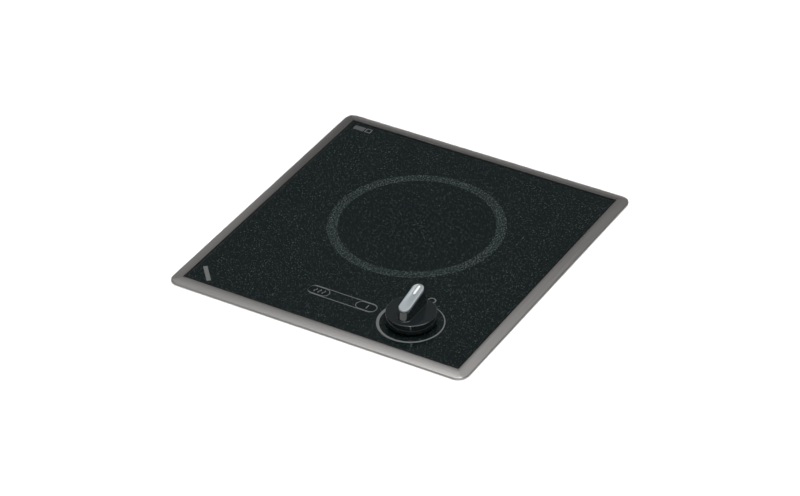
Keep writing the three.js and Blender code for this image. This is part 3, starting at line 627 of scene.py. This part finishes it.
def lamp_windows():
    """Left, right, middle Y and radius of the two clear windows, in metres."""
    places = [(x - 11, x + 9.5, y, WINDOW_RADIUS) for x, y, _ in (HOT_WINDOW, ON_WINDOW)]
    return [tuple(value * MM for value in place) for place in places]


class HOTPLATE_OT_glass(bpy.types.Operator):
    """Make the glass-ceramic plate with its speckles and cooking ring"""

    bl_idname = "hotplate.glass"
    bl_label = "Glass Plate"

    def execute(self, context):
        settings = context.scene.hotplate_glass
        surface("glass_ceramic_plate", [(glass_grid(settings), True, True)], body="hob", slot="black_glass",
                material=speckled_glass(settings, lamp_windows()), replaced=["glass_top"], sharp=20)
        return {"FINISHED"}


# ---------------------------------------------------------------- print on the glass

FRONT_BAR = ((-133.8, -123.0), (-118.8, -140.0))
BACK_BAR = ((-135.3, 138.3), (-123.9, 138.3))
BACK_SQUARE, SQUARE_HALF = (-119.5, 138.3), 3.1
SCALE_START, SCALE_END = 20, 332  # clockwise degrees from the back
SCALE_THIN, SCALE_GROWTH = 0.7, 2.7


def print_heights(settings):
    """Lowest and highest Z of the print, a hair above the glass."""
    return GLASS_Z + 0.01, GLASS_Z + settings.film / MM


def scale_band(settings, steps=160):
    """The power scale: an open ring whose width grows evenly with the clockwise angle from the back."""
    outer = settings.scale_radius / MM
    share = np.linspace(0, 1, steps)
    angle = np.radians(90 - (SCALE_START + (SCALE_END - SCALE_START) * share))
    ray = np.stack([np.cos(angle), np.sin(angle)], -1)
    width = SCALE_THIN + SCALE_GROWTH * share[:, None]
    low, high = print_heights(settings)
    middle = KNOB[:2] - (0.6, 0.3)
    outside, inside = middle + ray * outer, middle + ray * (outer - width)
    section = [(inside, low), (inside, high), (outside, high), (outside, low)]
    band = np.stack([np.column_stack([xy, np.full(steps, z)]) for xy, z in section])
    return band.transpose(1, 0, 2)


def outline_band(settings, centre, half_width, half_length, line):
    """A closed line of even width round a slot that lies along X."""
    def turned(offset):
        points = slot_outline(half_width, -half_length, half_length, offset, 20, 12)
        return np.asarray(centre) + np.stack([-points[:, 1], points[:, 0]], -1)

    return flat_band(turned(-line / 2), turned(line / 2), *print_heights(settings))


def stroke(settings, points, line):
    """A flat line of even width along points on the glass, its ends square."""
    points = np.asarray(points, float)
    step = np.gradient(points, axis=0)
    side = np.stack([-step[:, 1], step[:, 0]], -1) / np.linalg.norm(step, axis=1, keepdims=True)
    low, high = print_heights(settings)
    left, right = points + side * line / 2, points - side * line / 2
    section = [(left, low), (left, high), (right, high), (right, low)]
    return np.stack([np.column_stack([xy, np.full(len(xy), z)]) for xy, z in section]).transpose(1, 0, 2)


class HOTPLATE_OT_print(bpy.types.Operator):
    """Print the power scale, the off mark, the lamp outline and the plain marks on the glass"""

    bl_idname = "hotplate.print"
    bl_label = "Print on the Glass"

    def execute(self, context):
        settings = context.scene.hotplate_print
        ink = ink_material(settings)
        line = settings.line / MM
        middle_y = HOT_WINDOW[1] + 0.2
        options = {"body": "hob", "slot": "pointer_white", "material": ink}

        surface("power_scale", [(scale_band(settings), False, True)], **options)
        off_centre = KNOB[:2] + (-0.5, 36.2)
        surface("off_mark", [(outline_band(settings, off_centre, 3.5, 3.5, 1.1), True, True)], **options)
        left, right = HOT_WINDOW[0] - 11.0, ON_WINDOW[0] + 9.1
        long_centre = ((left + right) / 2, middle_y)
        surface("lamp_outline", [
            (outline_band(settings, long_centre, 6.1, (right - left) / 2, line), True, True),
        ], **options)
        for name, middle_x, half_length in (
            ("hot_window_outline", HOT_WINDOW[0] - 0.6, 10.4),
            ("on_window_outline", ON_WINDOW[0] - 1.2, 10.0),
        ):
            band = outline_band(settings, (middle_x, middle_y), WINDOW_RADIUS, half_length, line * 0.8)
            surface(name, [(band, True, True)], **options)
        along = np.linspace(-1, 1, 25)
        waves = []
        for shift in (-4.2, 0, 4.2):
            across = HOT_WINDOW[0] + shift + 0.8 * np.sin(math.pi * along)
            wave = np.stack([across, middle_y + 2.7 * along], -1)
            waves.append((stroke(settings, wave, 0.8), False, True))
        surface("heat_symbol", waves, **options)
        bar = np.stack([np.full(3, ON_WINDOW[0]), middle_y + np.linspace(-2.7, 2.7, 3)], -1)
        surface("power_symbol", [(stroke(settings, bar, 0.9), False, True)], **options)
        slanted = stroke(settings, np.linspace(*FRONT_BAR, 5), 4)
        surface("front_corner_bar", [(slanted, False, True)], **options)
        level = stroke(settings, np.linspace(*BACK_BAR, 5), 6.4)
        faint = {**options, "material": ink_material(settings, 0.55, "faint_enamel")}
        surface("back_corner_bar", [(level, False, True)], **faint)
        square = rounded_outline(SQUARE_HALF, SQUARE_HALF, 0.4, 4)
        inner, outer = BACK_SQUARE + square * 0.72, BACK_SQUARE + square
        frame_line = flat_band(inner, outer, *print_heights(settings))
        surface("back_corner_square", [(frame_line, True, True)], **options)
        return {"FINISHED"}


# ---------------------------------------------------------------- knob


def slope_height(y):
    """Height of the grip's sloping top plane above the frame's origin, at y from the shaft's axis."""
    front, back = CAP_LOW[1] - KNOB[1], CAP_HIGH[1] - KNOB[1]
    rise = (back_height() - front_height()) / (back - front)
    return front_height() + rise * (y - front)


def front_height():
    """Height of the cap's top at its front end."""
    return GLASS_Z + 22.8


def back_height():
    """Height of the cap's top at its back end."""
    return CAP_HIGH[2]


def at_knob(grid):
    """Points drawn about the shaft's axis, moved to it."""
    return grid + np.array([KNOB[0], KNOB[1], 0.0])


def lifted(outline, heights):
    """An outline with a height for each point."""
    return np.column_stack([outline, np.broadcast_to(heights, len(outline))])


def grip_size():
    """Half width, front Y and back Y of the grip from the shaft's axis."""
    return np.array([(CAP_HIGH[0] - CAP_LOW[0]) / 2, CAP_LOW[1] - KNOB[1], CAP_HIGH[1] - KNOB[1]])


CAP_THICKNESS = front_height() - CAP_LOW[2]
GRIP_FOOT = np.array([6.5, -17.8, 21.4])  # half width, front Y and back Y at the skirt


def skirt_grid(settings):
    """The round skirt: a hollow profile with a rolled upper edge, turned about the shaft."""
    radius = (KNOB_HIGH[0] - KNOB_LOW[0]) / 2
    bottom, top, rim = KNOB_LOW[2], GLASS_Z + settings.skirt / MM, settings.rim / MM
    roof = top - 2.5
    points = profile(
        (3.2, roof - 4), (6.2, roof - 4), arc((6.9, roof - 0.7), 0.7, 180, 90, 4),
        arc((radius - 2.3, roof - 0.5), 0.5, 90, 0, 4), (radius - 1.8, bottom + 0.3), (radius - 1.5, bottom),
        arc((radius - 0.4, bottom + 0.4), 0.4, 270, 360, 4), arc((radius - rim, top - rim), rim, 0, 90, 9),
        (radius - 3, top), (radius * 0.6, top), (3.2, top),
    )
    return at_knob(revolved(points, 128))


def grip_grid(settings):
    """The upright grip: a slot outline that narrows evenly from the foot to the cap, with a fillet below.

    Its top follows the sloping plane at the cap's underside."""
    bottom, fillet = GLASS_Z + settings.skirt / MM, settings.fillet / MM
    under = CAP_THICKNESS + 0.15

    def outline(share, offset=0.0):
        """The slot part of the way from the foot to the cap."""
        return slot_outline(*(GRIP_FOOT + (grip_size() - GRIP_FOOT) * share), offset)

    top = slope_height(outline(1)[:, 1]) - under
    rows = [lifted(outline(0, fillet), bottom - 0.4)]
    for angle in np.radians(np.linspace(0, 90, 7)):
        flare = fillet * (1 - math.sin(angle))
        rows.append(lifted(outline(0, flare), bottom + fillet * (1 - math.cos(angle))))
    for share in np.linspace(0.1, 0.97, 8):
        rows.append(lifted(outline(share), bottom + fillet + (top - bottom - fillet) * share))
    rows.append(lifted(outline(1, -0.25), slope_height(outline(1)[:, 1]) - under))
    return at_knob(np.stack(rows))


def cap_grid():
    """The cap: side wall, rolled edge, sloping top, and the pocket that holds the pointer."""
    half, front, back = grip_size()
    thick, edge, pocket_depth = CAP_THICKNESS, 0.45, 0.9
    pocket = (2.0, back - 13.4, back - 0.8)

    def row(offset, drop):
        outline = slot_outline(half, front, back, offset)
        return lifted(outline, slope_height(outline[:, 1]) - drop)

    def pocket_row(offset, drop):
        outline = slot_outline(*pocket, offset)
        return lifted(outline, slope_height(outline[:, 1]) - drop)

    rows = [row(-0.15, thick), row(0, thick - 0.15)]
    for angle in np.radians(np.linspace(0, 90, 7)):
        rows.append(row(-edge * (1 - math.cos(angle)), edge * (1 - math.sin(angle))))
    rows += [row(-edge * 1.6, 0), pocket_row(0.35, 0), pocket_row(0.12, 0.06), pocket_row(0, 0.3)]
    rows += [pocket_row(0, pocket_depth - 0.15), pocket_row(-0.15, pocket_depth)]
    return at_knob(np.stack(rows))


def pointer_grid():
    """The white pointer: a narrow slot laid in the pocket, its edge softly rounded."""
    _, _, back = grip_size()
    rows = []
    for offset, drop in ((0, 0.75), (0, 0.2), (-0.08, 0.08), (-0.25, 0.02)):
        outline = slot_outline(1.05, back - 12.4, back - 1.7, offset)
        rows.append(lifted(outline, slope_height(outline[:, 1]) - drop))
    return at_knob(np.stack(rows))


class HOTPLATE_OT_knob(bpy.types.Operator):
    """Make the control knob with its cap and pointer"""

    bl_idname = "hotplate.knob"
    bl_label = "Control Knob"

    def execute(self, context):
        settings = context.scene.hotplate_knob
        black = moulded("gloss_black_knob", settings.black, 0.10, 0.05, coat=0.6)
        grids = [(skirt_grid(settings), True, True), (grip_grid(settings), False, True)]
        surface("knob_skirt_and_grip", grids, body="knob", slot="knob_black", material=black,
                replaced=["knob_body"], sharp=40)
        surface("silver_knob_cap", [(cap_grid(), False, True)], body="knob", slot="knob_silver",
                material=lacquer(settings), replaced=["knob_cap"], sharp=30)
        white = moulded("white_pointer", (0.80, 0.82, 0.82), 0.35)
        surface("white_pointer_line", [(pointer_grid(), False, True)], body="knob", slot="pointer_white",
                material=white, replaced=["pointer_line"], sharp=30)
        return {"FINISHED"}


# ---------------------------------------------------------------- return spring

SPRING_TURNS, SPRING_WIRE = 4.5, 0.45  # turns of the coil and radius of its wire


def coil_grid(low, high):
    """A coil spring between two corners: a circle of wire carried along a helix, a row for each step.

    The helix rises evenly with its turn. The circle is spanned by the direction away from the coil's axis
    and by the one square to both that and the wire's run."""
    radius = (high[0] - low[0]) / 2 - SPRING_WIRE
    turn = np.linspace(0, 2 * math.pi * SPRING_TURNS, 145)[:, None]
    rise = (high[2] - low[2] - 2 * SPRING_WIRE) / turn[-1, 0]
    outward = np.hstack([np.cos(turn), np.sin(turn), 0 * turn])
    run = np.hstack([-radius * np.sin(turn), radius * np.cos(turn), 0 * turn + rise])
    across = np.cross(outward, run / np.linalg.norm(run, axis=1, keepdims=True))
    middle = radius * outward + [KNOB[0], KNOB[1], low[2] + SPRING_WIRE] + rise * turn * [0, 0, 1]
    around = np.linspace(0, 2 * math.pi, 14, endpoint=False)[:, None]
    circle = np.cos(around) * outward[:, None] + np.sin(around) * across[:, None]
    return middle[:, None] + SPRING_WIRE * circle


class HOTPLATE_OT_spring(bpy.types.Operator):
    """Make the coil spring that lifts the knob again after a push"""

    bl_idname = "hotplate.spring"
    bl_label = "Return Spring"

    def execute(self, context):
        low, high = corner_mm("push_spring", 0), corner_mm("push_spring", 1)
        coil = surface("coiled_return_spring", [(coil_grid(low, high), False, True)], body="cam_rotor",
                       slot="spring_steel", material=plated("coiled_spring_steel", (0.46, 0.46, 0.48), 0.26),
                       replaced=["push_spring"])
        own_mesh(coil)
        return {"FINISHED"}


# ---------------------------------------------------------------- carried-over CAD nodes


def dress(names, material):
    """Gives a material to the CAD nodes whose names start with any of the given words."""
    for name, node in frame["nodes"].items():
        if name.startswith(tuple(names)) and not node.hide_render:
            node.data.materials.clear()
            node.data.materials.append(material)


class HOTPLATE_OT_inner_parts(bpy.types.Operator):
    """Give every remaining part of the frame its own finish"""

    bl_idname = "hotplate.inner_parts"
    bl_label = "Inner Parts"

    def execute(self, context):
        sheet = zinc_sheet("galvanised_sheet", (0.40, 0.415, 0.42))
        dress(["burner_box", "element_dish", "regulator_bracket", "regulator_face", "lamp_bracket",
               "clamp_bracket"], sheet)
        dress(["flange_screw", "bracket_screw", "clamp_screw", "clamp_nut", "clamp_arm"],
              plated("bright_zinc", (0.60, 0.61, 0.63)))
        dress(["element_spring", "knob_clip", "control_shaft"],
              plated("spring_steel", (0.46, 0.46, 0.48), 0.26))
        dress(["regulator_nut", "regulator_tab", "earth_screw"], plated("plain_brass", (0.72, 0.52, 0.22)))
        dress(["insulation_"], pressed_fibre())
        dress(["heating_ribbon"], oxidised_alloy())
        dress(["limiter_", "element_terminal_block", "mains_terminal_block"],
              glazed("white_steatite", (0.80, 0.78, 0.72)))
        dress(["regulator_body", "shaft_cam"], moulded("cream_thermoset", (0.62, 0.56, 0.42), 0.5))
        dress(["cable_gland", "gland_nut"], moulded("black_nylon", (0.02, 0.02, 0.022), 0.5))
        dress(["glass_sealant", "shaft_seal"], elastomer("black_silicone", (0.012, 0.012, 0.013)))
        dress(["trim_gasket"], elastomer("grey_foam", (0.05, 0.05, 0.05), 0.9, pores=1.0))
        dress(["wire_"], elastomer("red_brown_silicone", (0.30, 0.06, 0.04), 0.5))
        dress(["hot_", "on_"], translucent_lens())
        return {"FINISHED"}


# ---------------------------------------------------------------- stage

WORKTOP_HALF, WORKTOP_THICK, FLOOR_HALF = 560, 5, 6000
CUT_MARGIN = 9  # how far the trim overlaps the edge of the cut-out
CAMERA_ANGLES = (31.37, 35.09, -1.47)  # degrees: azimuth to the right, elevation, roll
CAMERA_TARGET, CAMERA_DISTANCE = (3.40, -11.26, WORKTOP_Z), 2.9316
SKY = [  # (height of the direction, brightness)
    (0.0, 0.85), (0.06, 0.80), (0.2, 0.22), (0.36, 0.06),
    (0.62, 0.11), (0.74, 0.10), (0.88, 0.60), (1.0, 0.8),
]


def worktop_plane(settings):
    """A thin worktop with a rectangular cut-out, and a floor under it.

    The worktop casts no shadow, so that the box below it is lit."""
    cut_x, cut_y = HALF_X - CUT_MARGIN, HALF_Y - CUT_MARGIN
    half, top = WORKTOP_HALF, WORKTOP_Z - 0.2
    inner = np.array([(cut_x, -cut_y), (cut_x, cut_y), (-cut_x, cut_y), (-cut_x, -cut_y)])
    outer = np.array([(half, -half), (half, half), (-half, half), (-half, -half)])
    band = flat_band(inner, outer, top - WORKTOP_THICK, top)
    far, below = FLOOR_HALF, -2.0
    floor = np.array([[(-far, -far, below), (far, -far, below)], [(-far, far, below), (far, far, below)]])
    material = Shader("pale_floor", roughness=0.7)
    shade = material.mix(material.noise(3, 2), rgba(settings.floor, 0.99), rgba(settings.floor, 1.01))
    material.set("Base Color", shade)
    for name, grid, wrap in (("worktop", band, True), ("floor", floor, False)):
        rows, columns = grid.shape[:2]
        mesh = bpy.data.meshes.new(name)
        faces = grid_faces(rows, columns, wrap, wrap)
        mesh.from_pydata((grid.reshape(-1, 3) * MM).tolist(), [], faces.tolist())
        mesh.materials.append(material.material)
        plane = bpy.data.objects.new(name, mesh)
        plane.visible_shadow = name != "worktop"
        bpy.context.scene.collection.objects.link(plane)


def soft_world(settings):
    """Surroundings that are pale near the horizon, dark at middle height and lighter overhead."""
    world = bpy.data.worlds.new("soft_studio")
    bpy.context.scene.world = world
    world.use_nodes = True
    nodes, links = world.node_tree.nodes, world.node_tree.links
    place = nodes.new("ShaderNodeTexCoord")
    split = nodes.new("ShaderNodeSeparateXYZ")
    ramp = nodes.new("ShaderNodeValToRGB")
    links.new(place.outputs["Generated"], split.inputs[0])
    links.new(split.outputs["Z"], ramp.inputs[0])
    links.new(ramp.outputs[0], nodes["Background"].inputs["Color"])
    nodes["Background"].inputs["Strength"].default_value = settings.backdrop
    while len(ramp.color_ramp.elements) < len(SKY):
        ramp.color_ramp.elements.new(0.5)
    for element, (position, value) in zip(ramp.color_ramp.elements, SKY):
        element.position = position
        element.color = (value, value, value * 1.01, 1)


def area_light(name, place, target, size, power):
    """A softbox of the given width and height that faces its target."""
    light = bpy.data.lights.new(name, "AREA")
    light.shape = "RECTANGLE"
    light.size, light.size_y = size
    light.energy = power
    lamp = bpy.data.objects.new(name, light)
    lamp.visible_camera = False
    lamp.location = place
    lamp.rotation_mode = "QUATERNION"
    lamp.rotation_quaternion = (Vector(target) - Vector(place)).to_track_quat("-Z", "Y")
    bpy.context.scene.collection.objects.link(lamp)
    return lamp


def even_daylight(settings):
    """A wide soft sun that lights every matt surface evenly, however far away, and makes no highlights."""
    light = bpy.data.lights.new("even_daylight", "SUN")
    light.energy = settings.daylight
    light.angle = math.radians(50)
    lamp = bpy.data.objects.new("even_daylight", light)
    lamp.visible_glossy = False
    lamp.rotation_mode = "QUATERNION"
    lamp.rotation_quaternion = Vector((-0.1, -0.12, -1)).to_track_quat("-Z", "Y")
    bpy.context.scene.collection.objects.link(lamp)


def studio_camera():
    """A long lens from the front right and above, turned a little about its axis."""
    azimuth, elevation, roll = (math.radians(angle) for angle in CAMERA_ANGLES)
    back = Vector((math.sin(azimuth) * math.cos(elevation), -math.cos(azimuth) * math.cos(elevation),
                   math.sin(elevation)))
    data = bpy.data.cameras.new("studio_camera")
    data.lens, data.sensor_width = 145.79, 36
    data.clip_end = 50
    camera = bpy.data.objects.new("studio_camera", data)
    camera.location = Vector(CAMERA_TARGET) * MM + back * CAMERA_DISTANCE
    camera.rotation_mode = "QUATERNION"
    upright = (-back).to_track_quat("-Z", "Y")
    camera.rotation_quaternion = upright @ Matrix.Rotation(roll, 3, "Z").to_quaternion()
    bpy.context.scene.collection.objects.link(camera)
    bpy.context.scene.camera = camera


class HOTPLATE_OT_stage(bpy.types.Operator):
    """Make the worktop, the floor, the lights and the camera, after the trim"""

    bl_idname = "hotplate.stage"
    bl_label = "Stage"

    def execute(self, context):
        settings = context.scene.hotplate_stage
        worktop_plane(settings)
        soft_world(settings)
        even_daylight(settings)
        softbox = area_light("overhead_softbox", (0.2, 0.2, 2.4), (0, 0, 0), (1.8, 1.8), settings.key)
        softbox.visible_diffuse = False
        area_light("front_strip", (1.2, -2.4, 1.2), (0, 0, 0), (0.22, 1.6), settings.key * 0.3)
        steel = bpy.data.collections.new("steel_only")
        steel.objects.link(bpy.data.objects["steel_trim_frame"])
        for glow in (
            area_light("corner_glow", (0.06, 0.20, 0.475), (0.15, -0.13, 0.06), (0.12, 0.12), 0.03),
            area_light("left_rail_glow", (-0.46, 0.20, 0.24), (-0.15, -0.1, 0.06), (0.2, 0.15), 0.03),
        ):
            glow.light_linking.receiver_collection = steel
        context.scene.view_settings.view_transform = "Standard"
        studio_camera()
        return {"FINISHED"}


# ---------------------------------------------------------------- panel and registration


class HOTPLATE_PT_panel(bpy.types.Panel):
    """Lists the pieces that can be made"""

    bl_label = "Hot Plate"
    bl_idname = "HOTPLATE_PT_panel"
    bl_space_type = "VIEW_3D"
    bl_region_type = "UI"
    bl_category = "Hot Plate"

    def draw(self, context):
        for operator in OPERATORS:
            self.layout.operator(operator.bl_idname)


OPERATORS = (
    HOTPLATE_OT_trim, HOTPLATE_OT_glass, HOTPLATE_OT_print, HOTPLATE_OT_knob, HOTPLATE_OT_spring,
    HOTPLATE_OT_inner_parts, HOTPLATE_OT_stage,
)
SETTINGS = {
    "hotplate_trim": TrimSettings, "hotplate_glass": GlassSettings, "hotplate_print": PrintSettings,
    "hotplate_knob": KnobSettings, "hotplate_stage": StageSettings,
}


def register():
    for group in SETTINGS.values():
        bpy.utils.register_class(group)
    for name, group in SETTINGS.items():
        setattr(bpy.types.Scene, name, bpy.props.PointerProperty(type=group))
    for operator in (*OPERATORS, HOTPLATE_PT_panel):
        bpy.utils.register_class(operator)


def unregister():
    for operator in (*OPERATORS, HOTPLATE_PT_panel):
        bpy.utils.unregister_class(operator)
    for name, group in SETTINGS.items():
        delattr(bpy.types.Scene, name)
        bpy.utils.unregister_class(group)


def main():
    register()
    for operator in OPERATORS:
        area, name = operator.bl_idname.split(".")
        getattr(getattr(bpy.ops, area), name)()


if __name__ == "__main__":
    main()
